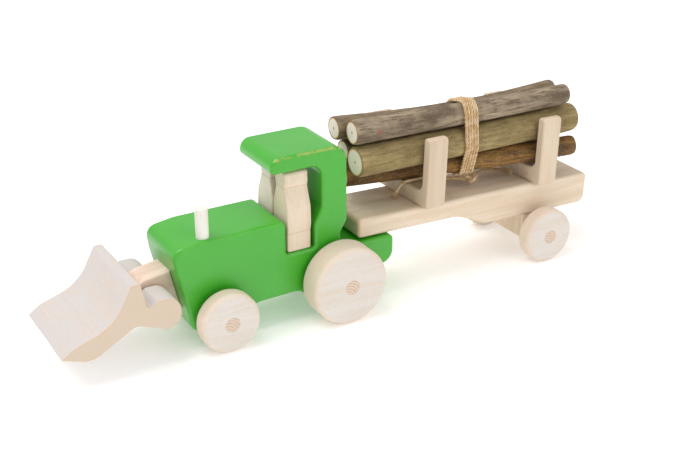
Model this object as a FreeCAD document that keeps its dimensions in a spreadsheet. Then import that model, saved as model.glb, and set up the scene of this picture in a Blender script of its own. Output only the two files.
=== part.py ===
import FreeCAD, Part
import math
import os
import Sketcher
from FreeCAD import Placement, Rotation, Vector

# A wooden toy tractor with a front loader and a two-wheeled log trailer.
# Millimetres, +Z up, the tractor's nose towards -X, the wheels standing on Z = 0.
# Outlines are drawn with X measured from the rear axle; every sub-part's Placement then
# moves it by rear_axle_x, which puts the origin under the middle of the whole toy.

DIMENSIONS = {
    "rear_axle_x": (-13.5, "place of the rear axle"),
    "body_width": (48, "thickness of the block the tractor is sawn from"),
    "edge_round": (2.5, "sanded edges of the painted body and the deck"),
    "rear_wheel_radius": (28, ""),
    "rear_wheel_width": (21.8, ""),
    "front_wheel_radius": (21, ""),
    "front_wheel_width": (14, ""),
    "trailer_wheel_radius": (20.6, ""),
    "trailer_wheel_width": (14, ""),
    "wheel_rim_round": (4, "rounded wheel edges"),
    "rear_track": (95.4, "over the outer faces of the rear wheels"),
    "front_track": (82.4, "over the outer faces of the front wheels"),
    "trailer_track": (88.6, "over the outer faces of the trailer wheels"),
    "front_axle_x": (-86.8, "from the rear axle"),
    "axle_radius": (5, "beech dowel"),
    "axle_clearance": (0.08, "radial, between an axle and its bore"),
    "exhaust_radius": (4.3, ""),
    "exhaust_length": (33, "part of it in the bonnet"),
    "exhaust_x": (-94.4, "from the rear axle"),
    "exhaust_y": (-17, ""),
    "exhaust_top": (97, "height of the stack's top"),
    "arm_width": (21, ""),
    "bucket_width": (68, ""),
    "bucket_notch": (24.4, "gap between the bucket's two knuckles"),
    "pivot_x": (-129, "from the rear axle"),
    "pivot_z": (37, ""),
    "pivot_radius": (3, "bucket pivot dowel"),
    "pivot_length": (60, "blind in the near knuckle"),
    "figure_depth": (17.6, "thickness of the flat figures"),
    "figure_lean": (5, "degrees, the passenger leans on the driver"),
    "hitch_x": (33, "from the rear axle"),
    "hitch_radius": (4, ""),
    "hitch_length": (26, ""),
    "hitch_depth": (16, "length of the pin that is glued in the tail"),
    "hitch_room": (10.75, "depth of the deck's blind hole for the pin"),
    "tail_top": (46.6, "height of the tail that the trailer rests on"),
    "deck_width": (48, ""),
    "deck_side": (3.4, "the deck's middle line, beyond the tractor's"),
    "deck_pitch": (1.9, "degrees, nose up"),
    "deck_bottom": (47.1, "height of the deck's underside at the end of the tail"),
    "deck_front_depth": (14.3, "thickness of the front of the deck"),
    "trailer_axle_x": (176.4, "from the rear axle"),
    "block_length": (20, ""),
    "block_width": (46, ""),
    "bolster_length": (16.5, "thickness of the stake bolsters"),
    "bolster_width": (74.5, ""),
    "bolster_height": (52, ""),
    "bolster_side": (10.2, "middle of the bolsters, beyond the tractor's middle line"),
    "stake_width": (7.5, ""),
    "dowel_radius": (3, "hidden glued dowels"),
    "twine_diameter": (2.3, ""),
    "twine_strands": (5, "turns of twine round the load, side by side"),
    "twine_x": (122, "from the rear axle"),
}

doc = FreeCAD.newDocument("toy_tractor")
sheet = doc.addObject("Spreadsheet::Sheet", "Sizes")
for row, (alias, (value, note)) in enumerate(DIMENSIONS.items(), start=1):
    sheet.set(f"A{row}", alias)
    sheet.set(f"B{row}", str(value))
    sheet.set(f"C{row}", note)
    sheet.setAlias(f"B{row}", alias)
doc.recompute()


def size(alias):
    """A driving dimension, as the sheet holds it."""
    return float(sheet.get(alias))


SHIFT = Vector(size("rear_axle_x"), 0, 0)
parts = []


def keep(piece, label, base=Vector(), rotation=Rotation()):
    """Names a finished sub-part and puts it in its place."""
    piece.Label = label
    piece.Placement = Placement(base.add(SHIFT), rotation)
    parts.append(piece)
    return piece


def rounded_outline(corners):
    """Lines and tangent arcs through corners (u, v, radius), closed."""
    points = [Vector(u, v, 0) for u, v, _ in corners]
    starts, ends, arcs = [], [], []
    for i, (_, _, radius) in enumerate(corners):
        corner = points[i]
        back = points[i - 1].sub(corner)
        ahead = points[(i + 1) % len(points)].sub(corner)
        back.normalize()
        ahead.normalize()
        half = back.getAngle(ahead) / 2
        reach = radius / math.tan(half)
        enter = corner.add(Vector(back).multiply(reach))
        leave = corner.add(Vector(ahead).multiply(reach))
        middle = back.add(ahead)
        middle.normalize()
        depth = radius / math.sin(half) - radius
        starts.append(enter)
        ends.append(leave)
        arcs.append(Part.Arc(enter, corner.add(middle.multiply(depth)), leave) if radius else None)
    geometry = []
    for i, arc in enumerate(arcs):
        if arc:
            geometry.append(arc)
        following = starts[(i + 1) % len(starts)]
        run = points[(i + 1) % len(points)].sub(points[i])
        if following.sub(ends[i]).dot(run) < -1e-6:
            raise RuntimeError(f"the arcs at corners {i} and {i + 1} overlap")
        if ends[i].distanceToPoint(following) > 1e-6:
            geometry.append(Part.LineSegment(ends[i], following))
    return geometry


def origin_plane(body, role):
    return next(f for f in body.Origin.OriginFeatures if f.Role == role)


def sketch_on(body, role, name):
    sketch = body.newObject("Sketcher::SketchObject", name)
    sketch.AttachmentSupport = [(origin_plane(body, role), "")]
    sketch.MapMode = "FlatFace"
    return sketch


def outline_sketch(body, role, name, corners):
    sketch = sketch_on(body, role, name)
    sketch.addGeometry(rounded_outline(corners), False)
    return sketch


def circle_sketch(body, role, name, centre, radius):
    """One circle; its radius and its centre's coordinates are expressions on the sheet."""
    sketch = sketch_on(body, role, name)
    circle = sketch.addGeometry(Part.Circle(Vector(10, 10, 0), Vector(0, 0, 1), 2), False)
    sketch.addConstraint(Sketcher.Constraint("Radius", circle, 2))
    sketch.addConstraint(Sketcher.Constraint("DistanceX", -1, 1, circle, 3, 10))
    sketch.addConstraint(Sketcher.Constraint("DistanceY", -1, 1, circle, 3, 10))
    for index, expression in enumerate((radius, *centre)):
        sketch.setExpression(f"Constraints[{index}]", expression)
    return sketch


def pad(body, sketch, length):
    """A pad of the sheet's length, half to each side of its sketch."""
    feature = body.newObject("PartDesign::Pad", sketch.Name + "_pad")
    feature.Profile = sketch
    feature.SideType = "Symmetric"
    feature.setExpression("Length", length)
    doc.recompute()
    return feature


def pocket(body, sketch, length, both_ways=True, reverse=False):
    """A pocket that must take material away."""
    before = body.Shape.Volume
    feature = body.newObject("PartDesign::Pocket", sketch.Name + "_pocket")
    feature.Profile = sketch
    feature.SideType = "Symmetric" if both_ways else "One side"
    feature.Reversed = reverse
    feature.setExpression("Length", length)
    doc.recompute()
    if not body.Shape.Volume < before - 1:
        raise RuntimeError(f"{feature.Name} cuts nothing")
    return feature


def rim_edges(shape, axis, half):
    """Names of the edges that lie in the two end faces of a symmetric pad."""
    names = []
    for number, edge in enumerate(shape.Edges, start=1):
        box = edge.BoundBox
        low, high = ((box.XMin, box.XMax), (box.YMin, box.YMax))[axis == "Y"]
        if abs(abs(low) - half) < 1e-3 and high - low < 1e-3:
            names.append(f"Edge{number}")
    return names


def round_rims(body, feature, axis, width, radius):
    doc.recompute()
    fillet = body.newObject("PartDesign::Fillet", feature.Name + "_round")
    fillet.Base = (feature, rim_edges(feature.Shape, axis, size(width) / 2))
    fillet.setExpression("Radius", radius)
    doc.recompute()
    return fillet


def sawn_block(name, corners, width, radius="Sizes.edge_round", role="XZ_Plane"):
    """A piece sawn to a side outline from a board, with its rims sanded round."""
    body = doc.addObject("PartDesign::Body", name)
    feature = pad(body, outline_sketch(body, role, name + "_outline", corners), "Sizes." + width)
    round_rims(body, feature, "Y" if role == "XZ_Plane" else "X", width, radius)
    return body


def drill(body, name, centre, radius, length, role="XZ_Plane", tilt=None):
    """A round hole through the sketch plane, to both sides of it."""
    sketch = circle_sketch(body, role, name, centre, radius)
    if tilt:
        sketch.AttachmentOffset = tilt
    return pocket(body, sketch, length)


def dowel(name, radius, length):
    """A dowel along Z, from its lower end."""
    cylinder = doc.addObject("Part::Cylinder", name)
    cylinder.setExpression("Radius", radius)
    cylinder.setExpression("Height", length)
    return cylinder


ALONG_Y = Rotation(Vector(1, 0, 0), -90)


# ---------------------------------------------------------------- tractor body

# Side outline, clockwise from the bonnet's front edge: bonnet, cab opening, roof, back
# wall, tail, underside with its two lobes and the arch between the wheels, and the nose.
BONNET = 76.2
CAB_FLOOR = 52
ROOF_UNDER = 110.6
ROOF_TOP = 122
NOSE_TOP = (-116.5, 58)
NOSE_FOOT = (-106.5, 11.5)
body_corners = [
    (-118.6, 73.2, 7.5), (-98, BONNET, 40), (-37, BONNET, 4), (-37, CAB_FLOOR, 2),
    (-15.4, CAB_FLOOR, 2), (-15.4, 69, 9), (-9.5, 80.5, 9), (-9.5, ROOF_UNDER, 8),
    (-47.4, ROOF_UNDER, 3.2), (-46.6, ROOF_TOP, 7.6), (10, ROOF_TOP, 12),
    (10, 66.5, 5), (4.9, 58.5, 6), (4.9, size("tail_top"), 3), (47.7, size("tail_top"), 3.2),
    (47.7, 25.5, 10), (29, 25.5, 10), (18, 14, 10), (-18, 14, 9), (-28, 22, 12),
    (-61, 21.4, 12), (-72, 11.5, 8), (*NOSE_FOOT, 7), (*NOSE_TOP, 30),
]
tractor = sawn_block("tractor_block", body_corners, "body_width")
bore = "Sizes.axle_radius + Sizes.axle_clearance"
drill(tractor, "rear_bore", ("0", "Sizes.rear_wheel_radius"), bore, "Sizes.body_width + 2")
drill(tractor, "front_bore", ("Sizes.front_axle_x", "Sizes.front_wheel_radius"), bore,
      "Sizes.body_width + 2")

# The stack's hole starts at the foot of the dowel and runs out through the bonnet.
STACK_HOLE = 40
stack_foot = size("exhaust_top") - size("exhaust_length")
TO_STACK = Placement(Vector(0, 0, stack_foot + STACK_HOLE / 2), Rotation())
drill(tractor, "stack_hole", ("Sizes.exhaust_x", "Sizes.exhaust_y"), "Sizes.exhaust_radius",
      str(STACK_HOLE), "XY_Plane", TO_STACK)

TO_TAIL = Placement(Vector(0, 0, size("tail_top")), Rotation())
drill(tractor, "hitch_hole", ("Sizes.hitch_x", "0"), "Sizes.hitch_radius",
      "2 * Sizes.hitch_depth", "XY_Plane", TO_TAIL)


def nose_x(height):
    """Where the sloping front face of the tractor is at a height."""
    (top_x, top_z), (foot_x, foot_z) = NOSE_TOP, NOSE_FOOT
    return foot_x + (top_x - foot_x) * (height - foot_z) / (top_z - foot_z)


# Two dowels hold the arm to the nose, square to its sloping face.
nose_slope = math.degrees(math.atan2(NOSE_TOP[0] - NOSE_FOOT[0], NOSE_TOP[1] - NOSE_FOOT[1]))
ARM_DOWEL_HEIGHTS = (33, 46)
ARM_DOWEL_LENGTH = 20
arm_dowel_places = [Placement(Vector(nose_x(h), 0, h), Rotation(Vector(0, 1, 0), -90 + nose_slope))
                    for h in ARM_DOWEL_HEIGHTS]
for number, place in enumerate(arm_dowel_places, start=1):
    drill(tractor, f"nose_hole_{number}", ("0", "0"), "Sizes.dowel_radius",
          str(ARM_DOWEL_LENGTH), "XY_Plane", place)
keep(tractor, "tractor_body")

# ---------------------------------------------------------------- exhaust stack

stack = dowel("stack_dowel", "Sizes.exhaust_radius", "Sizes.exhaust_length")
doc.recompute()
rounded_stack = doc.addObject("Part::Fillet", "stack_rounded")
rounded_stack.Base = stack
top_edge = next(n for n, e in enumerate(stack.Shape.Edges, start=1)
                if e.BoundBox.ZMin > size("exhaust_length") - 1)
rounded_stack.Edges = [(top_edge, 1.2, 1.2)]
keep(rounded_stack, "exhaust_stack", Vector(size("exhaust_x"), size("exhaust_y"), stack_foot))

# ---------------------------------------------------------------- loader arm and bucket

ARM_TOP = 54.5
ARM_FOOT = 25
arm = sawn_block("arm_block", [
    (nose_x(ARM_FOOT), ARM_FOOT, 0), (-142.5, 23.5, 13.4), (-142.5, 50.4, 13.3),
    (nose_x(ARM_TOP), ARM_TOP, 0)], "arm_width", "0.8")
drill(arm, "arm_bore", ("Sizes.pivot_x", "Sizes.pivot_z"),
      "Sizes.pivot_radius + Sizes.axle_clearance", "Sizes.arm_width + 2")
for number, place in enumerate(arm_dowel_places, start=1):
    drill(arm, f"arm_hole_{number}", ("0", "0"), "Sizes.dowel_radius",
          str(ARM_DOWEL_LENGTH), "XY_Plane", place)
keep(arm, "loader_arm")

arm_dowels = doc.addObject("Part::Compound", "arm_dowel_pair")
pair = []
for number, place in enumerate(arm_dowel_places, start=1):
    pin = dowel(f"arm_dowel_{number}", "Sizes.dowel_radius", str(ARM_DOWEL_LENGTH))
    pin.Placement = place.multiply(Placement(Vector(0, 0, -ARM_DOWEL_LENGTH / 2), Rotation()))
    pair.append(pin)
arm_dowels.Links = pair
keep(arm_dowels, "loader_arm_dowels")

# Scoop outline: underside from the lip, knuckle round the pivot, back, top edge, and the
# hollow front.
bucket = sawn_block("bucket_block", [
    (-199.2, 24.3, 0.6), (-179.5, 17.6, 14), (-149, 34.4, 7), (-129, 26.4, 5),
    (-118.4, 26.4, 9.5), (-118.4, 47.8, 10), (-134, 48, 5), (-141.6, 43, 3),
    (-142.4, 53, 20), (-144.6, 63, 1.8), (-150.7, 63, 1.3), (-163.5, 38.8, 34),
    (-190.5, 30.2, 8)], "bucket_width", "0.9")
# The notch clears the arm's top corner over the bucket's whole tilt.
NOTCH_RADIUS = 17.2
notch = outline_sketch(bucket, "XZ_Plane", "notch", [
    (size("pivot_x") - NOTCH_RADIUS, size("pivot_z") + NOTCH_RADIUS, NOTCH_RADIUS - 0.1),
    (-108, size("pivot_z") + NOTCH_RADIUS, 0), (-108, size("pivot_z") - NOTCH_RADIUS, 0),
    (size("pivot_x") - NOTCH_RADIUS, size("pivot_z") - NOTCH_RADIUS, NOTCH_RADIUS - 0.1)])
pocket(bucket, notch, "Sizes.bucket_notch")

# The pivot dowel enters from the far side and stops inside the near knuckle.
PIVOT_SHIFT = (size("bucket_width") - size("pivot_length")) / 2
pivot_hole = circle_sketch(bucket, "XZ_Plane", "pivot_hole",
                           ("Sizes.pivot_x", "Sizes.pivot_z"), "Sizes.pivot_radius")
pivot_hole.AttachmentOffset = Placement(Vector(0, 0, -PIVOT_SHIFT), Rotation())
pocket(bucket, pivot_hole, "Sizes.pivot_length")
keep(bucket, "loader_bucket")
keep(dowel("pivot_dowel", "Sizes.pivot_radius", "Sizes.pivot_length"), "bucket_pivot_pin",
     Vector(size("pivot_x"), PIVOT_SHIFT - size("pivot_length") / 2, size("pivot_z")), ALONG_Y)

# ---------------------------------------------------------------- cab figures

# Half outline of a figure from the middle of its feet up, mirrored to the other side:
# legs, a crease at the hips, chest, neck and head.
FIGURE_HALF = [
    (9.6, 0, 1.2), (9.9, 13.6, 3), (11, 19, 12), (10.6, 31, 10), (6.1, 44.5, 3),
    (7, 49, 4), (6.4, 56, 2.4)]


def figure(name, label, base, lean):
    corners = [(-u, v, r) for u, v, r in FIGURE_HALF] + FIGURE_HALF[::-1]
    keep(sawn_block(name, corners, "figure_depth", "1.2", "YZ_Plane"), label, base,
         Rotation(Vector(1, 0, 0), lean))


FIGURE_X = -26.8
figure("driver_block", "driver_figure", Vector(FIGURE_X, -12.9, CAB_FLOOR + 0.3), 0)
figure("passenger_block", "passenger_figure", Vector(FIGURE_X, 12.4, CAB_FLOOR + 1.1),
       size("figure_lean"))

# ---------------------------------------------------------------- wheels and axles


def wheel(label, radius, width, base):
    body = doc.addObject("PartDesign::Body", label + "_disc")
    rim = circle_sketch(body, "XZ_Plane", label + "_rim", ("0", "0"), "Sizes." + radius)
    feature = pad(body, rim, "Sizes." + width)
    round_rims(body, feature, "Y", width, "Sizes.wheel_rim_round")
    drill(body, label + "_bore", ("0", "0"), "Sizes.axle_radius", f"Sizes.{width} + 2")
    keep(body, label, base)


def wheelset(prefix, radius, width, track, place, middle=0.0):
    """Two wheels glued on one dowel axle, whose ends are flush with the wheels."""
    offset = (size(track) - size(width)) / 2
    height = size(radius)
    wheel(f"{prefix}_wheel_near", radius, width, Vector(place, middle - offset, height))
    wheel(f"{prefix}_wheel_far", radius, width, Vector(place, middle + offset, height))
    keep(dowel(f"{prefix}_axle_dowel", "Sizes.axle_radius", "Sizes." + track), f"{prefix}_axle",
         Vector(place, middle - size(track) / 2, height), ALONG_Y)


wheelset("front", "front_wheel_radius", "front_wheel_width", "front_track", size("front_axle_x"))
wheelset("rear", "rear_wheel_radius", "rear_wheel_width", "rear_track", 0)
wheelset("trailer", "trailer_wheel_radius", "trailer_wheel_width", "trailer_track",
         size("trailer_axle_x"), size("deck_side"))

keep(dowel("hitch_dowel", "Sizes.hitch_radius", "Sizes.hitch_length"), "hitch_pin",
     Vector(size("hitch_x"), 0, size("tail_top") - size("hitch_depth")))

# ---------------------------------------------------------------- trailer

# The trailer is drawn level and then pitched nose up about the end of the tail, so that
# its wheels reach the ground.
TAIL_END = Vector(47.5, 0, size("deck_bottom"))
PITCH = Rotation(Vector(0, 1, 0), size("deck_pitch"))


def pitched(x, y, z):
    """A level trailer point, moved to where the pitched trailer has it."""
    return TAIL_END.add(PITCH.multVec(Vector(x, y, z).sub(TAIL_END)))


def level(x, y, z):
    """The reverse: a point of the pitched trailer, as the level drawing has it."""
    return TAIL_END.add(PITCH.inverted().multVec(Vector(x, y, z).sub(TAIL_END)))


DECK_BOTTOM = size("deck_bottom")
DECK_TOP = DECK_BOTTOM + size("deck_front_depth")
DECK_REAR_DEPTH = 24.6
DECK_REAR_BOTTOM = DECK_TOP - DECK_REAR_DEPTH
DECK_FRONT, DECK_REAR = 20.2, 225.6
deck_base = pitched(0, size("deck_side"), 0)
deck = sawn_block("deck_block", [
    (DECK_FRONT, DECK_BOTTOM, 3.5), (DECK_FRONT, DECK_TOP, 3.5), (DECK_REAR, DECK_TOP, 4),
    (DECK_REAR, DECK_REAR_BOTTOM, 6), (131, DECK_REAR_BOTTOM, 18), (106, DECK_BOTTOM, 22)],
    "deck_width")
hitch_level = level(size("hitch_x"), 0, DECK_BOTTOM)
TO_HITCH = Placement(Vector(hitch_level.x, -size("deck_side"), hitch_level.z), PITCH.inverted())
drill(deck, "deck_hitch_hole", ("0", "0"), "Sizes.hitch_radius + Sizes.axle_clearance",
      "2 * Sizes.hitch_room", "XY_Plane", TO_HITCH)

DOWEL_SPREAD = 14
BOLSTER_PLACES = {"front_stake_bolster": (78.9, 2.0), "rear_stake_bolster": (180.4, 1.0)}
BOLSTER_DOWEL = 20
axle_level = level(size("trailer_axle_x"), size("deck_side"), size("trailer_wheel_radius"))
BLOCK_DOWEL_TOP = 9
BLOCK_DOWEL_FOOT = 5
deck_dowel_holes = [(x, side * DOWEL_SPREAD, DECK_TOP, BOLSTER_DOWEL)
                    for x, _ in BOLSTER_PLACES.values() for side in (-1, 1)]
deck_dowel_holes += [(axle_level.x, side * DOWEL_SPREAD, DECK_REAR_BOTTOM, 2 * BLOCK_DOWEL_TOP)
                     for side in (-1, 1)]
for number, (x, y, z, length) in enumerate(deck_dowel_holes, start=1):
    drill(deck, f"deck_hole_{number}", (str(x), str(y)), "Sizes.dowel_radius", str(length),
          "XY_Plane", Placement(Vector(0, 0, z), Rotation()))
keep(deck, "trailer_deck", deck_base, PITCH)

BELOW_AXLE = 7.6
BLOCK_FOOT = axle_level.z - BELOW_AXLE
half_block = size("block_length") / 2
block = sawn_block("axle_block", [
    (axle_level.x - half_block, BLOCK_FOOT, 1), (axle_level.x - half_block, DECK_REAR_BOTTOM, 0),
    (axle_level.x + half_block, DECK_REAR_BOTTOM, 0), (axle_level.x + half_block, BLOCK_FOOT, 1)],
    "block_width", "0.6")
drill(block, "block_bore", (str(axle_level.x), str(axle_level.z)), bore,
      "Sizes.block_width + 2")
for side in (-1, 1):
    drill(block, "block_hole_near" if side < 0 else "block_hole_far",
          (str(axle_level.x), str(side * DOWEL_SPREAD)), "Sizes.dowel_radius",
          str(2 * BLOCK_DOWEL_FOOT), "XY_Plane",
          Placement(Vector(0, 0, DECK_REAR_BOTTOM), Rotation()))
keep(block, "trailer_axle_block", deck_base, PITCH)


def dowel_group(name, label, feet, length):
    """Level dowels standing at the given feet, as one node that pitches with the deck."""
    pins = []
    for number, foot in enumerate(feet, start=1):
        pin = dowel(f"{name}_{number}", "Sizes.dowel_radius", str(length))
        pin.Placement.Base = Vector(*foot)
        pins.append(pin)
    group = doc.addObject("Part::Compound", name + "_group")
    group.Links = pins
    keep(group, label, deck_base, PITCH)


dowel_group("block_dowel", "axle_block_dowels",
            [(axle_level.x, side * DOWEL_SPREAD, DECK_REAR_BOTTOM - BLOCK_DOWEL_FOOT)
             for side in (-1, 1)], BLOCK_DOWEL_TOP + BLOCK_DOWEL_FOOT)
dowel_group("bolster_dowel", "stake_bolster_dowels",
            [(x, side * DOWEL_SPREAD, DECK_TOP - BOLSTER_DOWEL / 2)
             for x, _ in BOLSTER_PLACES.values() for side in (-1, 1)], BOLSTER_DOWEL)

# U-shaped bolsters: a floor and two stakes sawn from one board, inner corners rounded.
half_width = size("bolster_width") / 2
stake = size("stake_width")
top = size("bolster_height")
BOLSTER_FLOOR = 12
bolster_corners = [
    (-half_width, 0, 2.5), (-half_width, top, 2.6), (-half_width + stake, top, 2.6),
    (-half_width + stake, BOLSTER_FLOOR, 6), (half_width - stake, BOLSTER_FLOOR, 6),
    (half_width - stake, top, 2.6), (half_width, top, 2.6), (half_width, 0, 2.5)]
for label, (x, yaw) in BOLSTER_PLACES.items():
    bolster = sawn_block(label + "_block", bolster_corners, "bolster_length", "1.6", "YZ_Plane")
    turn = Rotation(Vector(0, 0, 1), yaw)
    for side in (-1, 1):
        foot = Vector(0, size("deck_side") + side * DOWEL_SPREAD - size("bolster_side"), 0)
        hole = turn.inverted().multVec(foot)
        drill(bolster, f"{label}_hole_{side + 2}", (str(hole.x), str(hole.y)),
              "Sizes.dowel_radius", str(BOLSTER_DOWEL), "XY_Plane")
    keep(bolster, label, pitched(x, size("bolster_side"), DECK_TOP), PITCH.multiply(turn))

# ---------------------------------------------------------------- load

# Each cut branch runs from its front end to its back end, with its two radii.
LOGS = {
    "log_bottom_near": ((28, 12, 82.2), (213, -14.5, 77.2), 7.7, 7.6),
    "log_bottom_far": ((32, 29.6, 83.4), (206, 15.5, 77.7), 9, 8.6),
    "log_middle_near": ((25.5, -7.4, 100), (216.5, -6, 97.4), 11, 11),
    "log_middle_far": ((28, 13.4, 101.2), (212, 14.4, 95.5), 8, 8),
    "log_top_near": ((25, -4.2, 120.6), (207, -9, 118.2), 8.9, 7.5),
    "log_top_far": ((21, 13.8, 119), (208, 9, 115.2), 8.6, 8.2),
}
for label, (front, back, front_radius, back_radius) in LOGS.items():
    run = Vector(*back).sub(Vector(*front))
    log = doc.addObject("Part::Cone", label + "_stick")
    log.Radius1, log.Radius2, log.Height = front_radius, back_radius, run.Length
    keep(log, label, Vector(*front), Rotation(Vector(0, 0, 1), run))


def log_section(label, x):
    """Centre and radius of a log where the twine crosses it."""
    front, back, front_radius, back_radius = LOGS[label]
    t = (x - front[0]) / (back[0] - front[0])
    y = front[1] + t * (back[1] - front[1])
    z = front[2] + t * (back[2] - front[2])
    return Vector(0, y, z), front_radius + t * (back_radius - front_radius)


def belt(circles, slack):
    """A tight closed line round circles given anticlockwise, slack outside them."""
    geometry, touches = [], []
    for (a, ra), (b, rb) in zip(circles, circles[1:] + circles[:1]):
        along = b.sub(a)
        turn = math.acos((ra - rb) / along.Length)
        normal = Rotation(Vector(1, 0, 0), -math.degrees(turn)).multVec(along)
        normal.normalize()
        touches.append((a.add(Vector(normal).multiply(ra + slack)),
                        b.add(Vector(normal).multiply(rb + slack))))
    for i, (centre, radius) in enumerate(circles):
        enter, leave = touches[i - 1][1], touches[i][0]
        middle = enter.add(leave).multiply(0.5).sub(centre)
        middle.normalize()
        geometry.append(Part.Arc(enter, centre.add(middle.multiply(radius + slack)), leave))
        geometry.append(Part.LineSegment(*touches[i]))
    return Part.Wire([g.toShape() for g in geometry])


TWINE = size("twine_diameter")
TWINE_X = size("twine_x")
BAND = TWINE * size("twine_strands")
WRAPPED = ["log_bottom_near", "log_bottom_far", "log_top_far", "log_top_near",
           "log_middle_near"]
circles = [log_section(label, TWINE_X) for label in WRAPPED]
# The branches cross the band at a slant, so its middle section clears them by this much.
LOG_GAP = 1.1
rings = [belt(circles, LOG_GAP + TWINE), belt(circles, LOG_GAP)]
ring = Part.makeFace(rings, "Part::FaceMakerBullseye")
# The band leans: its near side is wound closer to the cab than its far side.
BAND_LEAN, LEAN_MIDDLE = 0.26, 6
lean = FreeCAD.Matrix()
lean.A12 = BAND_LEAN
lean.A14 = TWINE_X - BAND / 2 - BAND_LEAN * LEAN_MIDDLE
ring = ring.transformGeometry(lean)
wrap = doc.addObject("Part::Feature", "twine_band")
wrap.Shape = ring.extrude(Vector(BAND, 0, 0))
keep(wrap, "twine_wrap")

# The knot is under the load and bites into the band; both loose ends start inside it.
KNOT = Vector(126, -6, 66.8)
knot = doc.addObject("Part::Ellipsoid", "knot_lump")
knot.Radius1, knot.Radius2, knot.Radius3 = 2.9, 6.2, 4.6
keep(knot, "twine_knot", KNOT)

# Loose ends of the twine: straight runs joined by tangent arcs.
TAILS = {
    "twine_tail_rear": [(131.4, -5, 66.2), (138.5, 3.5, 63.6), (147, 12, 61.6),
                        (157, 13.4, 61), (165, 8.2, 60.3), (169, 0.5, 60.2)],
    "twine_tail_front": [(120.8, -4.5, 66.8), (113, 3.5, 66.4), (104, 6, 66.4),
                         (96, 0.5, 67.4), (91, -4.4, 71.4), (86, -5, 75.3), (76, -4.6, 75.2),
                         (68.4, -3.2, 75.1), (64.6, -1.2, 69), (63.4, 1, 63)],
}


def cord_tube(route, diameter):
    """A round tube along the route; each corner is an arc as large as its runs allow."""
    points = [Vector(*p) for p in route]
    edges, start, radii = [], points[0], []
    for before, corner, after in zip(points, points[1:], points[2:]):
        back = before.sub(corner)
        ahead = after.sub(corner)
        reach = 0.45 * min(back.Length, ahead.Length)
        back.normalize()
        ahead.normalize()
        half = back.getAngle(ahead) / 2
        radius = reach * math.tan(half)
        radii.append(round(radius, 1))
        middle = back.add(ahead)
        middle.normalize()
        enter = corner.add(Vector(back).multiply(reach))
        leave = corner.add(Vector(ahead).multiply(reach))
        depth = radius / math.sin(half) - radius
        edges.append(Part.LineSegment(start, enter).toShape())
        edges.append(Part.Arc(enter, corner.add(middle.multiply(depth)), leave).toShape())
        start = leave
    edges.append(Part.LineSegment(start, points[-1]).toShape())
    path = Part.Wire(edges)
    section = Part.Wire(Part.Circle(points[0], points[1].sub(points[0]), diameter / 2).toShape())
    tube = path.makePipeShell([section], True, False)
    expected = math.pi * diameter ** 2 / 4 * path.Length
    print(f"cord {path.Length:.1f} mm long, volume {tube.Volume / expected:.4f} of its section, "
          f"arc radii {radii}")
    return tube


for label, route in TAILS.items():
    tail = doc.addObject("Part::Feature", label + "_tube")
    tail.Shape = cord_tube(route, TWINE)
    keep(tail, label)

# ---------------------------------------------------------------- check and write

doc.recompute()
for item in doc.Objects:
    if "Invalid" in item.State or "Error" in item.State:
        raise RuntimeError(f"{item.Name} is {item.State}")
os.makedirs("parts", exist_ok=True)
for piece in parts:
    shape = piece.Shape
    if shape.isNull() or not shape.isValid() or not shape.Solids:
        raise RuntimeError(f"{piece.Label} has no valid solid")
    shape.exportStep(f"parts/{piece.Label}.step")
whole = FreeCAD.BoundBox()
for piece in parts:
    whole.add(piece.Shape.BoundBox)
print(len(parts), "sub-parts", whole)
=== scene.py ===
import math
import random
import bmesh
import bpy
from mathutils import Matrix, Vector, noise


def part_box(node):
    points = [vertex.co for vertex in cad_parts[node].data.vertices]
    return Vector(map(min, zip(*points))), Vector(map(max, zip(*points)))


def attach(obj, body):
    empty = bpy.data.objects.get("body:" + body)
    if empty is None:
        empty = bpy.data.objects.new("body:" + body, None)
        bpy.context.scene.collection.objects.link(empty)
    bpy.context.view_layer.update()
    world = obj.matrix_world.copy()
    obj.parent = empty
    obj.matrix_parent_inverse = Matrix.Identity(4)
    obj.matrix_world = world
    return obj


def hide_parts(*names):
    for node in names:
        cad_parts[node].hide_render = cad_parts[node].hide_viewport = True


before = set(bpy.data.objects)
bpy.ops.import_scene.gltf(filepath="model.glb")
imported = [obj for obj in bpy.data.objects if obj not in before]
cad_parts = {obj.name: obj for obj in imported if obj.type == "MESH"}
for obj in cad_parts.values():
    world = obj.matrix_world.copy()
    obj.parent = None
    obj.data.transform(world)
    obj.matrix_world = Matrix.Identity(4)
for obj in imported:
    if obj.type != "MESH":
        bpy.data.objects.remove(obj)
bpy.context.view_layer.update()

# A wooden toy tractor with a loader, and a trailer with a tied load of cut branches.
# Metres, in the CAD frame: the nose towards -X, +Z up, the wheels on Z = 0.

MM = 0.001
REAR_AXLE = -13.5        # mm, where the outlines' own X starts


def place(x, y, z):
    """A point in mm from the rear axle, in the row frame in metres."""
    return Vector(((x + REAR_AXLE) * MM, y * MM, z * MM))


# ---------------------------------------------------------------- camera

camera = bpy.data.objects.new("camera", bpy.data.cameras.new("camera"))
bpy.context.collection.objects.link(camera)
camera.data.lens = 62.26
camera.data.sensor_width = 36
camera.data.clip_start, camera.data.clip_end = 0.01, 20
RIGHT = Vector((0.8598, -0.5107, 0)).normalized()
BACK = Vector((-0.4629, -0.7793, 0.4223)).normalized()
UP = BACK.cross(RIGHT).normalized()
camera.matrix_world = Matrix.Translation((-0.3854, -0.6698, 0.4091)) @ Matrix((
    (RIGHT.x, UP.x, BACK.x), (RIGHT.y, UP.y, BACK.y), (RIGHT.z, UP.z, BACK.z))).to_4x4()
bpy.context.scene.camera = camera
bpy.context.scene.view_settings.view_transform = "Standard"

# ---------------------------------------------------------------- twine

TWINE = 2.3 * MM         # the twine's diameter, in metres
TURNS = 5
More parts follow.
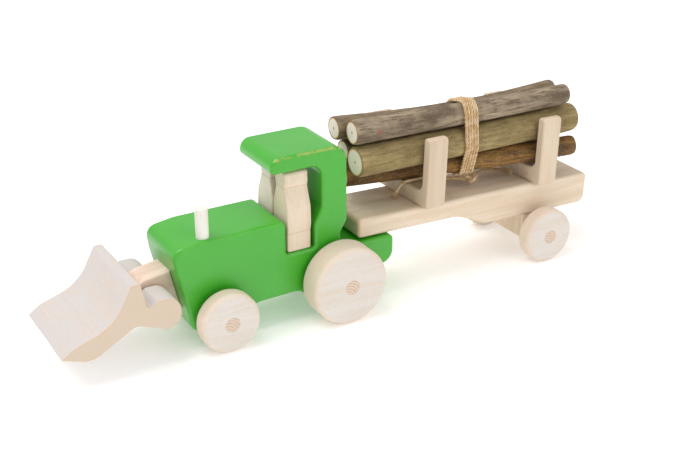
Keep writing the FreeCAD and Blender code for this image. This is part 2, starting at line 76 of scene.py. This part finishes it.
# From here to the bows, lengths are in mm and places in mm from the rear axle.
TWINE_X = 122
BAND_LEAN = 0.26         # how far the turns lean back along X for each mm across
LEAN_MIDDLE = 6          # the Y where they cross TWINE_X
KNOT = (126, -6, 66.8)
KNOT_RADII = (6.2, 4.6, 2.9)
# The control points of each loose end, from the knot outwards.
TAILS = {
    "twine_tail_rear": [(131.4, -5, 66.2), (138.5, 3.5, 63.6), (147, 12, 61.6),
                        (157, 13.4, 61), (165, 8.2, 60.3), (169, 0.5, 60.2)],
    "twine_tail_front": [(120.8, -4.5, 66.8), (113, 3.5, 66.4), (104, 6, 66.4),
                         (96, 0.5, 67.4), (91, -4.4, 71.4), (86, -5, 75.3), (76, -4.6, 75.2),
                         (68.4, -3.2, 75.1), (64.6, -1.2, 69), (63.4, 1, 63)],
}
# Each branch's front end, its back end and the radius at each.
LOGS = {
    "log_bottom_near": ((28, 12, 82.2), (213, -14.5, 77.2), 7.7, 7.6),
    "log_bottom_far": ((32, 29.6, 83.4), (206, 15.5, 77.7), 9, 8.6),
    "log_middle_near": ((25.5, -7.4, 100), (216.5, -6, 97.4), 11, 11),
    "log_middle_far": ((28, 13.4, 101.2), (212, 14.4, 95.5), 8, 8),
    "log_top_near": ((25, -4.2, 120.6), (207, -9, 118.2), 8.9, 7.5),
    "log_top_far": ((21, 13.8, 119), (208, 9, 115.2), 8.6, 8.2),
}
# How far each branch sags in its middle and turns up towards its back end.
BOWS = {
    "log_bottom_near": (0.2, 1.5), "log_bottom_far": (0.3, 0.8), "log_middle_near": (0.3, 0.9),
    "log_middle_far": (2.4, 0.6), "log_top_near": (0.3, 0.8), "log_top_far": (3.6, 1.4),
}


def bow(label, t):
    """How far above its straight line a branch is, in mm, a share t of the way back."""
    sag, rise = BOWS[label]
    return rise * max(0, (t - 0.6) / 0.4) ** 2 - sag * math.sin(math.pi * t)


def smooth_line(points):
    """The line of a NURBS spline whose control points are the given ones."""
    curve = bpy.data.curves.new("route", "CURVE")
    curve.dimensions = "3D"
    spline = curve.splines.new("NURBS")
    spline.points.add(len(points) - 1)
    for point, where in zip(spline.points, points):
        point.co = (*where, 1)
    spline.order_u = 3
    spline.use_endpoint_u = True
    spline.resolution_u = 24
    holder = bpy.data.objects.new("route", curve)
    bpy.context.collection.objects.link(holder)
    mesh = bpy.data.meshes.new_from_object(holder)
    line = [v.co.copy() for v in mesh.vertices]
    bpy.data.objects.remove(holder)
    return line


def evenly(line, step):
    """The same line with its points a step apart."""
    out, left = [line[0]], step
    for a, b in zip(line, line[1:]):
        run = (b - a).length
        while run >= left:
            a = a.lerp(b, left / run)
            out.append(a)
            run -= left
            left = step
        left -= run
    return out


PLIES = 3
# In twine diameters: a ply's radius, its distance from the twine's middle, the length of
# one twist, and the distance from one ring of a ply to the next.
PLY_RADIUS, PLY_OFFSET, LAY_LENGTH, STEP = 0.235, 0.26, 4.2, 0.17
PLY_SIDES, FUZZ_SIDES, FRAY_SIDES = 6, 3, 4
PLY_UNEVEN = 0.16        # share by which a ply's radius wanders
# Radii of a loose fibre and of a frayed one, in metres, from root to tip.
FUZZ_RADII = (0.00007, 0.00006, 0.00005, 0.00002)
FRAY_RADII = (0.00022, 0.0002, 0.00018, 0.00015, 0.00004)
FRAY_STEPS = 30          # rings from a loose end to where it starts to come apart
FRAY_SPREAD = 3.0        # mm that its fibres stand off in the end


def tube(verts, faces, ring_points, radii, sides):
    """Adds a round tube through the points, its frame carried along without twisting."""
    start = len(verts)
    normal = Vector((0, 0, 1))
    last = len(ring_points) - 1
    for i, (point, radius) in enumerate(zip(ring_points, radii)):
        ahead = (ring_points[min(i + 1, last)] - ring_points[max(i - 1, 0)]).normalized()
        if abs(ahead.dot(normal)) > 0.99:
            normal = Vector((1, 0, 0))
        normal = (normal - ahead * normal.dot(ahead)).normalized()
        side = ahead.cross(normal)
        for k in range(sides):
            angle = math.tau * k / sides
            verts.append(point + (normal * math.cos(angle) + side * math.sin(angle)) * radius)
    for i in range(last):
        for k in range(sides):
            a = start + i * sides + k
            b = start + i * sides + (k + 1) % sides
            faces.append((a, b, b + sides, a + sides))
    faces.append(tuple(range(start + sides - 1, start - 1, -1)))
    faces.append(tuple(range(len(verts) - sides, len(verts))))


def twisted(name, line, seed, fuzz, gauge=1.0, shaggy=1.0, frayed=0):
    """Three-ply jute along a line, with loose fibres standing off it.

    fuzz says how many, gauge scales the twine's thickness, shaggy the fibres' length, and
    frayed says how many more fibres spread from its last stretch."""
    rng = random.Random(seed)
    verts, faces = [], []
    line = evenly(line, STEP * TWINE)
    last = len(line) - 1
    normal = Vector((0.3, 0.2, 1)).normalized()
    plies = [[] for _ in range(PLIES)]
    frames = []
    for i, point in enumerate(line):
        ahead = (line[min(i + 1, last)] - line[max(i - 1, 0)]).normalized()
        normal = (normal - ahead * normal.dot(ahead)).normalized()
        side = ahead.cross(normal)
        frames.append((point, ahead, normal, side))
        turn = math.tau * i * STEP / LAY_LENGTH
        for k, ply in enumerate(plies):
            angle = turn + k * math.tau / PLIES
            ply.append(point + (normal * math.cos(angle) + side * math.sin(angle))
                       * PLY_OFFSET * TWINE * gauge)
    for k, ply in enumerate(plies):
        radii = [TWINE * gauge * PLY_RADIUS
                 * (1 + PLY_UNEVEN * noise.noise(Vector((i * 0.19, seed, k * 5))))
                 for i in range(len(ply))]
        tube(verts, faces, ply, radii, PLY_SIDES)
    for _ in range(fuzz):
        point, ahead, normal, side = frames[rng.randrange(len(frames))]
        angle = rng.uniform(0, math.tau)
        out = normal * math.cos(angle) + side * math.sin(angle)
        lean = ahead * rng.uniform(-1.2, 1.2) + out
        long = rng.uniform(0.4, 1.0) * TWINE * shaggy
        root = point + out * 0.4 * TWINE * gauge
        curl = ahead * rng.uniform(-0.5, 0.5) + side * rng.uniform(-0.5, 0.5)
        fibre = [root + lean.normalized() * long * t * 0.8 + curl * long * t * t * 0.5
                 for t in (0, 0.33, 0.66, 1)]
        tube(verts, faces, fibre, FUZZ_RADII, FUZZ_SIDES)
    for _ in range(frayed):
        leaves = rng.randrange(3, FRAY_STEPS)
        angle = rng.uniform(0, math.tau)
        drift = rng.uniform(0.4, FRAY_SPREAD)
        beyond = rng.uniform(-1.0, 1.2) * MM
        fibre = []
        for t in (0, 0.25, 0.5, 0.75, 1):
            at = last - leaves + round(leaves * t)
            point, ahead, normal, side = frames[at]
            out = normal * math.cos(angle) + side * math.sin(angle)
            fibre.append(point + ahead * beyond * t + out * (0.35 * TWINE * (1 - t)
                                                             + drift * MM * t * t))
        tube(verts, faces, fibre, FRAY_RADII, FRAY_SIDES)
    data = bpy.data.meshes.new(name)
    data.from_pydata(verts, [], faces)
    data.polygons.foreach_set("use_smooth", [True] * len(data.polygons))
    piece = bpy.data.objects.new(name, data)
    bpy.context.collection.objects.link(piece)
    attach(piece, "log_load")
    return piece


def log_section(label, x):
    """Centre (y, z) and radius of a branch, in mm, where x crosses it."""
    front, back, front_radius, back_radius = LOGS[label]
    t = (x - front[0]) / (back[0] - front[0])
    return (front[1] + t * (back[1] - front[1]),
            front[2] + t * (back[2] - front[2]) + bow(label, t),
            front_radius + t * (back_radius - front_radius))


HULL_POINTS = 150


def hull(x, slack):
    """A leaning loop, slack mm off the branches, that crosses LEAN_MIDDLE at x.

    It starts at the far side and goes over the top."""
    circles = [log_section(label, x) for label in LOGS]
    points = []
    for i in range(HULL_POINTS):
        angle = math.tau * i / HULL_POINTS
        cosine, sine = math.cos(angle), math.sin(angle)
        y, z, radius = max(circles, key=lambda k: k[0] * cosine + k[1] * sine + k[2])
        y += (radius + slack) * cosine
        z += (radius + slack) * sine
        points.append(place(x + BAND_LEAN * (y - LEAN_MIDDLE), y, z))
    return points + points[:1]


def share_of(line, share):
    """The point a share of the way along a line."""
    runs = [(b - a).length for a, b in zip(line, line[1:])]
    goal = share * sum(runs)
    for a, b, run in zip(line, line[1:], runs):
        if goal <= run:
            return a.lerp(b, goal / run if run else 0)
        goal -= run
    return line[-1]


WRAP_STEPS = 120         # points in one turn
WRAP_START = 0.75        # where the winding starts on the hull: underneath
WRAP_WANDER = 0.4        # mm that a turn strays along the branches
WRAP_GAUGE = 1.08        # a little thicker, so that no gaps show between the turns
HUG = 1.1                # mm from the bark to the middle of the twine
turns = []
for i in range(TURNS * WRAP_STEPS + 1):
    turn = i / WRAP_STEPS
    x = TWINE_X + (turn - TURNS / 2) * TWINE / MM
    wander = WRAP_WANDER * noise.noise(Vector((turn * 2.3, 4.1, 0)))
    turns.append(share_of(hull(x + wander, HUG), (turn + WRAP_START) % 1))
wrap = twisted("twine_wrap_turns", turns, seed=11, fuzz=1100, gauge=WRAP_GAUGE, shaggy=1.2)
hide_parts("twine_wrap")

KNOT_STEPS = 90
tied = []                # a trefoil knot inside KNOT_RADII
for i in range(KNOT_STEPS + 1):
    t = math.tau * i / KNOT_STEPS
    trefoil = ((math.sin(t) + 2 * math.sin(2 * t)) / 3,
               (math.cos(t) - 2 * math.cos(2 * t)) / 3, -math.sin(3 * t))
    tied.append(place(*(middle + share * (radius - TWINE / MM / 2)
                        for middle, share, radius in zip(KNOT, trefoil, KNOT_RADII))))
knot = twisted("twine_knot_tied", tied, seed=12, fuzz=330, shaggy=2.1)
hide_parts("twine_knot")

twines = [wrap, knot]
for number, (label, route) in enumerate(TAILS.items()):
    line = smooth_line([place(*p) for p in route])
    tail = twisted(label + "_jute", line, seed=20 + number, fuzz=110, frayed=130)
    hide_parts(label)
    twines.append(tail)

# ---------------------------------------------------------------- node helpers


class Nodes:
    """Builds one procedural material; every texture reads the object's own coordinates."""

    def __init__(self, name, roughness):
        self.material = bpy.data.materials.new(name)
        self.material.use_nodes = True
        self.tree = self.material.node_tree
        self.shader = self.tree.nodes["Principled BSDF"]
        self.shader.inputs["Roughness"].default_value = roughness
        self.coords = self.add("ShaderNodeTexCoord")

    def add(self, kind, **settings):
        node = self.tree.nodes.new(kind)
        for key, value in settings.items():
            setattr(node, key, value)
        return node

    def link(self, source, target):
        """Joins an output to an input, or puts a number or a colour in the input."""
        if isinstance(source, (int, float, tuple)):
            target.default_value = source
        else:
            self.tree.links.new(source, target)

    def space(self, scale=(1, 1, 1), turn=(0, 0, 0), shift=(0, 0, 0)):
        """Object coordinates stretched by scale, then turned, then moved by shift."""
        node = self.add("ShaderNodeMapping")
        node.inputs["Scale"].default_value = scale
        node.inputs["Rotation"].default_value = turn
        node.inputs["Location"].default_value = shift
        self.link(self.coords.outputs["Object"], node.inputs["Vector"])
        return node.outputs["Vector"]

    def noise(self, vector, scale, detail=4, rough=0.55, distortion=0.0):
        node = self.add("ShaderNodeTexNoise")
        for key, value in (("Scale", scale), ("Detail", detail), ("Roughness", rough),
                           ("Distortion", distortion)):
            node.inputs[key].default_value = value
        self.link(vector, node.inputs["Vector"])
        return node.outputs["Fac"]

    def ramp(self, factor, low, high):
        """0 at low and 1 at high, smooth between. Low may be the greater of the two."""
        node = self.add("ShaderNodeMapRange", interpolation_type="SMOOTHSTEP")
        node.inputs["From Min"].default_value = low
        node.inputs["From Max"].default_value = high
        self.link(factor, node.inputs["Value"])
        return node.outputs["Result"]

    def math(self, operation, a, b=0.0):
        node = self.add("ShaderNodeMath", operation=operation)
        self.link(a, node.inputs[0])
        self.link(b, node.inputs[1])
        return node.outputs[0]

    def times(self, a, b):
        return self.math("MULTIPLY", a, b)

    def plus(self, a, b):
        return self.math("ADD", a, b)

    def length(self, first, *others):
        """How far off a point is, from its distances along two or three axes."""
        total = self.times(first, first)
        for other in others:
            total = self.plus(total, self.times(other, other))
        return self.math("SQRT", total)

    def rounding(self, facing):
        """0 where facing, a part of the normal, is 0 or 1, and 0.25 at most between."""
        square = self.times(facing, facing)
        return self.times(square, self.math("SUBTRACT", 1.0, square))

    def mix(self, factor, a, b):
        """A where the factor is 0 and b where it is 1."""
        node = self.add("ShaderNodeMix", data_type="RGBA")
        self.link(factor, node.inputs[0])
        self.link(a, node.inputs[6])
        self.link(b, node.inputs[7])
        return node.outputs[2]

    def apart(self, vector):
        """A vector's X, Y and Z."""
        node = self.add("ShaderNodeSeparateXYZ")
        self.link(vector, node.inputs[0])
        return node.outputs

    def bump(self, height, distance, strength=1.0):
        node = self.add("ShaderNodeBump")
        node.inputs["Distance"].default_value = distance
        node.inputs["Strength"].default_value = strength
        self.link(height, node.inputs["Height"])
        self.link(node.outputs["Normal"], self.shader.inputs["Normal"])

    def colour(self, value):
        self.link(value, self.shader.inputs["Base Color"])


def tone(red, green, blue):
    """A colour as sRGB numbers from 0 to 255, made linear for a shader."""
    def linear(c):
        c /= 255
        return c / 12.92 if c <= 0.04045 else ((c + 0.055) / 1.055) ** 2.4
    return (linear(red), linear(green), linear(blue), 1.0)


# ---------------------------------------------------------------- wood and paint

STREAK, MOTTLE, WORN = tone(222, 178, 128), tone(196, 172, 150), tone(226, 178, 128)
# WHEEL_RIM_HIGHLIGHT is a painted highlight, the light on a wheel's bevel; CREASE_SHADE is
# painted shade along a crease.
WHEEL_RIM_HIGHLIGHT, SEAM, CREASE_SHADE = tone(236, 208, 180), tone(150, 118, 92), tone(176, 140, 108)
# How a texture is stretched to run along the grain.
ALONG = {"X": (0.06, 1, 1), "Y": (1, 0.06, 1), "Z": (1, 1, 0.06)}
DOWEL_RADIUS = 0.005
# CREASE_SHADE_WIDTH is the width of the painted shade line along a figure's crease.
SEAM_WIDTH, CREASE_SHADE_WIDTH = 0.00045, 0.0007


def bare_wood(name, grain, seed, pale, cream, warmth, centre=None, radius=None, creases=(),
              sawn=None):
    """Sanded pale wood: broad bands, fine pores along the grain and a few warm streaks.

    With a centre (x, z) and a radius, it is a wheel: a dark line shows where its dowel ends,
    and the rim is painted lighter and warmer, a painted highlight where light catches its
    bevel. Creases are heights where two sanded facets meet; a thin painted shade line darkens
    each. Sawn is the colour of faces that cross the grain, whose edges are then worn."""
    n = Nodes(name, 0.62)
    along = n.space(ALONG[grain], shift=(seed * 0.37, seed * 0.11, seed * 0.23))
    bands = n.noise(along, 160, detail=3, distortion=0.6)
    colour = n.mix(n.ramp(bands, 0.35, 0.68), pale, cream)
    warm = n.ramp(n.noise(along, 45, detail=2, distortion=1.2), 0.58, 0.78)
    colour = n.mix(n.times(warm, warmth), colour, STREAK)
    pores = n.noise(along, 1100, detail=2)
    colour = n.mix(n.times(n.ramp(pores, 0.5, 0.72), 0.28), colour, STREAK)
    mottle = n.noise(n.space(), 500, detail=3, rough=0.7)
    colour = n.mix(n.times(n.ramp(mottle, 0.52, 0.7), 0.16), colour, MOTTLE)
    if sawn:
        facing = n.apart(n.coords.outputs["Normal"])["XYZ".index(grain)]
        across = n.ramp(n.times(facing, facing), 0.4, 0.7)
        flecks = n.times(n.ramp(mottle, 0.5, 0.75), 0.3)
        colour = n.mix(n.times(across, 0.85), colour, n.mix(flecks, sawn, STREAK))
        patches = n.ramp(n.noise(n.space(), 150), 0.35, 0.6)
        worn = n.times(n.rounding(facing), patches)
        colour = n.mix(n.times(worn, 2.6), colour, WORN)
    if centre:
        x, _, z = n.apart(n.space(shift=(-centre[0], 0, -centre[1])))
        radial = n.length(x, z)
        # Painted highlight: the rim is made lighter and warmer, as light falls on the wheel's
        # bevel.
        rim_highlight = n.times(n.ramp(radial, radius * 0.84, radius), 0.5)
        colour = n.mix(rim_highlight, colour, WHEEL_RIM_HIGHLIGHT)
        off = n.math("ABSOLUTE", n.math("SUBTRACT", radial, DOWEL_RADIUS))
        colour = n.mix(n.times(n.ramp(off, SEAM_WIDTH, 0.0), 0.5), colour, SEAM)
    # Painted shade: a thin dark line at each crease height, where two facets meet and shade
    # falls.
    for height in creases:
        _, _, z = n.apart(n.coords.outputs["Object"])
        off = n.math("ABSOLUTE", n.math("SUBTRACT", z, height))
        colour = n.mix(n.times(n.ramp(off, CREASE_SHADE_WIDTH, 0.0), 0.4), colour, CREASE_SHADE)
    n.colour(colour)
    n.bump(n.plus(pores, n.times(bands, 0.6)), 0.00012, 0.7)
    return n.material


def end_grain(name, centre, seed):
    """The sawn end of a dowel: darker than its wheel, with growth rings to one side."""
    n = Nodes(name, 0.7)
    x, _, z = n.apart(n.space(shift=(-centre[0] + 0.004, 0, -centre[1] + 0.006)))
    radial = n.length(x, z)
    wobble = n.times(n.noise(n.space(shift=(seed, 0, 0)), 350), 0.0009)
    rings = n.math("SINE", n.times(n.plus(radial, wobble), 3200))
    specks = n.noise(n.space(), 1000, detail=3)
    colour = n.mix(n.ramp(rings, -1, 1), tone(223, 202, 183), tone(203, 178, 158))
    colour = n.mix(n.times(n.ramp(specks, 0.5, 0.72), 0.35), colour, tone(160, 124, 96))
    n.colour(colour)
    n.bump(specks, 0.0001, 0.6)
    return n.material


ROOF_RIM, ROOF_TOP = 0.112, 0.119    # heights between which the wear sets in


def green_paint():
    """Satin paint over wood: faint grain beneath, worn to the wood along the roof's rims."""
    n = Nodes("green_paint", 0.34)
    grain = n.noise(n.space(ALONG["X"]), 900, detail=3)
    blotch = n.noise(n.space(), 38, detail=3)
    colour = n.mix(blotch, tone(52, 162, 24), tone(68, 176, 40))
    _, across, _ = n.apart(n.coords.outputs["Normal"])
    rim = n.times(n.rounding(across), 4.0)
    _, _, height = n.apart(n.coords.outputs["Object"])
    roof = n.plus(n.times(n.ramp(height, ROOF_RIM, ROOF_TOP), 0.9), 0.1)
    patches = n.ramp(n.noise(n.space(), 260, detail=5, rough=0.65), 0.44, 0.6)
    wear = n.times(n.times(rim, patches), n.times(roof, 0.6))
    colour = n.mix(wear, colour, tone(196, 178, 104))
    n.colour(colour)
    n.bump(n.plus(grain, n.times(blotch, 1.5)), 0.00012, 0.35)
    n.shader.inputs["Coat Weight"].default_value = 0.35
    n.shader.inputs["Coat Roughness"].default_value = 0.25
    return n.material


def turned(node):
    """A turned piece's centre (x, z) and its radius."""
    low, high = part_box(node)
    middle = (low + high) / 2
    return (middle.x, middle.z), (high.z - low.z) / 2


def dress(node, material):
    """Gives a CAD node its one material."""
    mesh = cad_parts[node].data
    mesh.materials.clear()
    mesh.materials.append(material)


dress("tractor_body", green_paint())
PALE, CREAM = tone(232, 216, 197), tone(225, 201, 172)
WHITE, CHALK = tone(234, 231, 222), tone(204, 198, 196)
BEIGE, TAN = tone(229, 212, 191), tone(219, 199, 172)
SAWN = tone(211, 191, 167)
CREASES = (0.0975, 0.066)    # heights on the figures
# Each node's grain, its two shades of wood, how strong its warm streaks are, its creases
# and the colour of its sawn faces.
WOODS = {
    "exhaust_stack": ("Z", WHITE, WHITE, 0.1, (), None),
    "loader_arm": ("X", tone(238, 216, 202), tone(226, 198, 182), 0.3, (), SAWN),
    "loader_arm_dowels": ("X", PALE, CREAM, 0.5, (), None),
    "loader_bucket": ("Y", CHALK, tone(209, 199, 191), 0.15, (), SAWN),
    "driver_figure": ("Z", tone(229, 211, 190), tone(220, 199, 175), 0.3, CREASES, None),
    "passenger_figure": ("Z", tone(238, 222, 212), tone(228, 208, 194), 0.3, CREASES, None),
    "trailer_deck": ("X", BEIGE, TAN, 0.6, (), SAWN),
    "trailer_axle_block": ("Z", BEIGE, TAN, 0.6, (), None),
    "axle_block_dowels": ("Z", PALE, CREAM, 0.5, (), None),
    "stake_bolster_dowels": ("Z", PALE, CREAM, 0.5, (), None),
    "front_stake_bolster": ("Z", tone(213, 193, 170), tone(204, 181, 156), 0.35, (), None),
    "rear_stake_bolster": ("Z", tone(218, 200, 176), tone(208, 188, 162), 0.35, (), None),
    "hitch_pin": ("Z", PALE, CREAM, 0.5, (), None),
}
for seed, (node, looks) in enumerate(WOODS.items(), 1):
    grain, pale, cream, warmth, creases, sawn = looks
    dress(node, bare_wood(node + "_wood", grain, seed, pale, cream, warmth,
                          creases=creases, sawn=sawn))
WHEEL_PALE, WHEEL_CREAM = tone(220, 213, 206), tone(216, 206, 195)
for number, prefix in enumerate(("front", "rear", "trailer")):
    for side in ("near", "far"):
        node = f"{prefix}_wheel_{side}"
        centre, radius = turned(node)
        dress(node, bare_wood(node + "_wood", "X", 20 + number * 2 + (side == "far"),
                              WHEEL_PALE, WHEEL_CREAM, 0.12, centre=centre, radius=radius))
    axle = prefix + "_axle"
    dress(axle, end_grain(axle + "_ends", turned(axle)[0], seed=number))
dress("bucket_pivot_pin", end_grain("pivot_ends", turned("bucket_pivot_pin")[0], seed=7))

# ---------------------------------------------------------------- branches

# Each bark's light and dark shade.
BARKS = {
    "log_bottom_near": (tone(154, 112, 48), tone(80, 54, 26)),
    "log_bottom_far": (tone(132, 98, 58), tone(84, 62, 38)),
    "log_middle_near": (tone(176, 155, 106), tone(120, 102, 60)),
    "log_middle_far": (tone(140, 112, 82), tone(96, 74, 54)),
    "log_top_near": (tone(178, 160, 134), tone(94, 78, 60)),
    "log_top_far": (tone(150, 130, 104), tone(100, 84, 64)),
}


def own_space(n, matrix):
    """Coordinates with a branch's front end at the origin and Z along it."""
    back = matrix.inverted()
    return n.space(turn=back.to_euler(), shift=back.to_translation())


def bark(name, light, dark, matrix, scar=None):
    """Thin bark: long fissures, speckle, pale breathing pores and perhaps a reddish scar."""
    n = Nodes(name, 0.85)
    own = own_space(n, matrix)
    stretch = n.add("ShaderNodeMapping")
    stretch.inputs["Scale"].default_value = (1, 1, 0.14)
    n.link(own, stretch.inputs["Vector"])
    along = stretch.outputs["Vector"]
    broad = n.noise(along, 110, detail=4)
    patch = n.noise(own, 70, detail=3)
    fine = n.noise(along, 540, detail=5, rough=0.75)
    speck = n.noise(own, 760, detail=4, rough=0.75)
    shade = n.plus(n.times(broad, 0.6), n.times(patch, 0.4))
    colour = n.mix(n.ramp(shade, 0.32, 0.68), dark, light)
    colour = n.mix(n.times(n.ramp(fine, 0.48, 0.62), 0.85), colour, dark)
    colour = n.mix(n.times(n.ramp(speck, 0.5, 0.68), 0.3), colour, tone(190, 172, 138))
    if scar:
        away = n.length(*(n.math("SUBTRACT", part, middle)
                          for part, middle in zip(n.apart(own), scar)))
        away = n.plus(away, n.times(n.noise(own, 500), 0.002))
        colour = n.mix(n.times(n.ramp(away, 0.0046, 0.0018), 0.7), colour, tone(150, 84, 70))
    n.colour(colour)
    n.bump(n.plus(fine, n.times(speck, 0.7)), 0.0006, 0.9)
    return n.material


def log_end(name, matrix, radius, taper):
    """A sawn branch end: cream wood, growth rings, small checks and a bark rim."""
    n = Nodes(name, 0.75)
    x, y, z = n.apart(own_space(n, matrix))
    radial = n.length(x, y)
    wobble = n.times(n.noise(n.space(), 220), 0.0016)
    rings = n.math("SINE", n.times(n.plus(radial, wobble), 4600))
    colour = n.mix(n.times(n.ramp(rings, -0.4, 1), 0.3), tone(253, 236, 228), tone(220, 196, 176))
    colour = n.mix(n.ramp(radial, 0.0014, 0.0004), colour, tone(176, 140, 98))
    rough = n.noise(n.space(), 900, detail=4)
    colour = n.mix(n.times(n.ramp(rough, 0.5, 0.7), 0.4), colour, tone(196, 178, 172))
    share = n.math("DIVIDE", radial, n.plus(n.times(z, taper), radius))
    colour = n.mix(n.ramp(share, 0.7, 0.84), colour, tone(222, 176, 122))
    colour = n.mix(n.ramp(share, 0.83, 0.88), colour, tone(116, 84, 52))
    n.colour(colour)
    n.bump(n.plus(rough, n.times(rings, 0.2)), 0.00025, 0.7)
    return n.material


AROUND, STEPS = 88, 170      # points in a branch's ring, and steps from ring to ring
SCAR = (41.5, -11.8, 121)    # on the near top branch, where a twig was cut off
# In metres: how long and wide a knot is and how far it stands out, how far from an end a
# branch is still drawn in, and how deep the fissures and the marks of the saw are.
TWIG_LENGTH, TWIG_WIDTH, TWIG_HEIGHT = 0.0034, 0.0028, 0.00042
DRAWN_IN, FISSURE, SAW_MARK = 0.0009, 0.00012, 0.00012


def twig_knots(label, seed, matrix, length):
    """A branch's knots, each a share of its length and an angle, and its scar if it has one."""
    if label == "log_top_near":
        scar = matrix.inverted() @ place(*SCAR)
        return [(scar.z / length, math.atan2(scar.y, scar.x)), (0.63, 2.0)], scar
    rng = random.Random(seed)
    return [(rng.uniform(0.1, 0.9), rng.uniform(0, math.tau)) for _ in range(3)], None


def rough_radius(radius, t, angle, length, knots, seed):
    """A branch's radius with its ridges, fissures and knots, and drawn in at its ends."""
    ridge = noise.noise(Vector((math.cos(angle) * 2.4, math.sin(angle) * 2.4,
                                t * 5 + seed * 3.1)))
    fissure = noise.noise(Vector((math.cos(angle) * 9, math.sin(angle) * 9,
                                  t * 22 + seed * 7.7)))
    from_end = min(t, 1 - t) * length
    shy = 1 - 0.06 * math.exp(-from_end / DRAWN_IN)
    rough = radius * shy * (0.985 + 0.018 * ridge) - FISSURE * abs(fissure)
    for knot_t, knot_angle in knots:
        along = (t - knot_t) * length / TWIG_LENGTH
        around = math.sin((angle - knot_angle) / 2) * 2 * radius / TWIG_WIDTH
        apart = along * along + around * around
        if math.cos(angle - knot_angle) > 0 and apart < 9:
            rough += TWIG_HEIGHT * math.exp(-apart) * (1 - 1.7 * math.exp(-apart * 5))
    return rough


def close_end(mesh, ring, centre, front):
    """Fills the ring at a branch's end with smaller rings, uneven from the saw."""
    outer = ring
    for share in (0.8, 0.55, 0.3):
        inner = [mesh.verts.new((*centre.lerp(v.co.xy, share),
                                 v.co.z + SAW_MARK * noise.noise(v.co * 900 * share)))
                 for v in ring]
        for k in range(AROUND):
            following = (k + 1) % AROUND
            quad = (outer[k], inner[k], inner[following], outer[following])
            mesh.faces.new(quad[::-1] if front else quad).material_index = 1
        outer = inner
    mesh.faces.new(outer[::-1] if front else outer).material_index = 1


def branch(label, seed):
    """A cut branch in place of a CAD cone: bowed, with ridged and knotty bark."""
    front, back, front_radius, back_radius = LOGS[label]
    start, end = place(*front), place(*back)
    run = end - start
    matrix = Matrix.Translation(start) @ run.to_track_quat("Z", "Y").to_matrix().to_4x4()
    knots, scar = twig_knots(label, seed, matrix, run.length)
    straighten = matrix.to_3x3().inverted()
    mesh = bmesh.new()
    rings, middles = [], []
    for i in range(STEPS + 1):
        t = i / STEPS
        radius = (front_radius + t * (back_radius - front_radius)) * MM
        lift = straighten @ Vector((0, 0, bow(label, t) * MM))
        ring = []
        for k in range(AROUND):
            angle = math.tau * k / AROUND
            r = rough_radius(radius, t, angle, run.length, knots, seed)
            ring.append(mesh.verts.new((r * math.cos(angle) + lift.x,
                                        r * math.sin(angle) + lift.y, t * run.length)))
        rings.append(ring)
        middles.append(lift.xy)
    for a, b in zip(rings, rings[1:]):
        for k in range(AROUND):
            following = (k + 1) % AROUND
            mesh.faces.new((a[k], a[following], b[following], b[k]))
    close_end(mesh, rings[0], middles[0], front=True)
    close_end(mesh, rings[-1], middles[-1], front=False)
    bmesh.ops.recalc_face_normals(mesh, faces=mesh.faces)
    data = bpy.data.meshes.new(label + "_branch")
    mesh.to_mesh(data)
    mesh.free()
    data.transform(matrix)
    for face in data.polygons:
        face.use_smooth = face.material_index == 0
    piece = bpy.data.objects.new(label + "_branch", data)
    bpy.context.collection.objects.link(piece)
    light, dark = BARKS[label]
    data.materials.append(bark(label + "_bark", light, dark, matrix, scar))
    taper = (back_radius - front_radius) * MM / run.length
    data.materials.append(log_end(label + "_ends", matrix, front_radius * MM, taper))
    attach(piece, "log_load")
    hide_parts(label)


for seed, label in enumerate(LOGS, 1):
    branch(label, seed)


def jute():
    """Rough tan fibre with paler and browner lengths."""
    n = Nodes("jute", 0.9)
    patches = n.noise(n.space(), 260, detail=3)
    fibres = n.noise(n.space(), 900, detail=4, rough=0.7)
    colour = n.mix(n.ramp(patches, 0.4, 0.6), tone(206, 172, 124), tone(226, 202, 166))
    colour = n.mix(n.times(n.ramp(fibres, 0.5, 0.64), 0.5), colour, tone(156, 114, 68))
    n.colour(colour)
    n.bump(fibres, 0.0003, 0.9)
    return n.material


jute_material = jute()
for piece in twines:
    piece.data.materials.append(jute_material)

# ---------------------------------------------------------------- floor and light

bpy.ops.mesh.primitive_plane_add(size=8)
floor = bpy.context.object
floor.name = "floor"
n = Nodes("floor_paint", 0.9)
n.colour(n.mix(n.noise(n.space(), 1.5), tone(250, 250, 250), tone(254, 254, 254)))
n.shader.inputs["Emission Color"].default_value = (1, 1, 1, 1)
n.shader.inputs["Emission Strength"].default_value = 0.22
floor.data.materials.append(n.material)

world = bpy.data.worlds.new("studio")
bpy.context.scene.world = world
world.use_nodes = True
world.node_tree.nodes["Background"].inputs["Color"].default_value = (1, 1, 1, 1)
world.node_tree.nodes["Background"].inputs["Strength"].default_value = 0.72


def lamp(name, where, target, power, size):
    """A square area light, size metres wide, aimed at the target."""
    data = bpy.data.lights.new(name, "AREA")
    data.energy, data.size = power, size
    lamp_object = bpy.data.objects.new(name, data)
    bpy.context.collection.objects.link(lamp_object)
    lamp_object.location = where
    aim = Vector(target) - Vector(where)
    lamp_object.rotation_euler = aim.to_track_quat("-Z", "Y").to_euler()


lamp("key", (-0.5, 0.25, 1.3), (0, 0, 0.05), 11, 1.0)
lamp("fill", (0.5, -1.2, 0.8), (0, 0, 0.05), 3.8, 1.2)
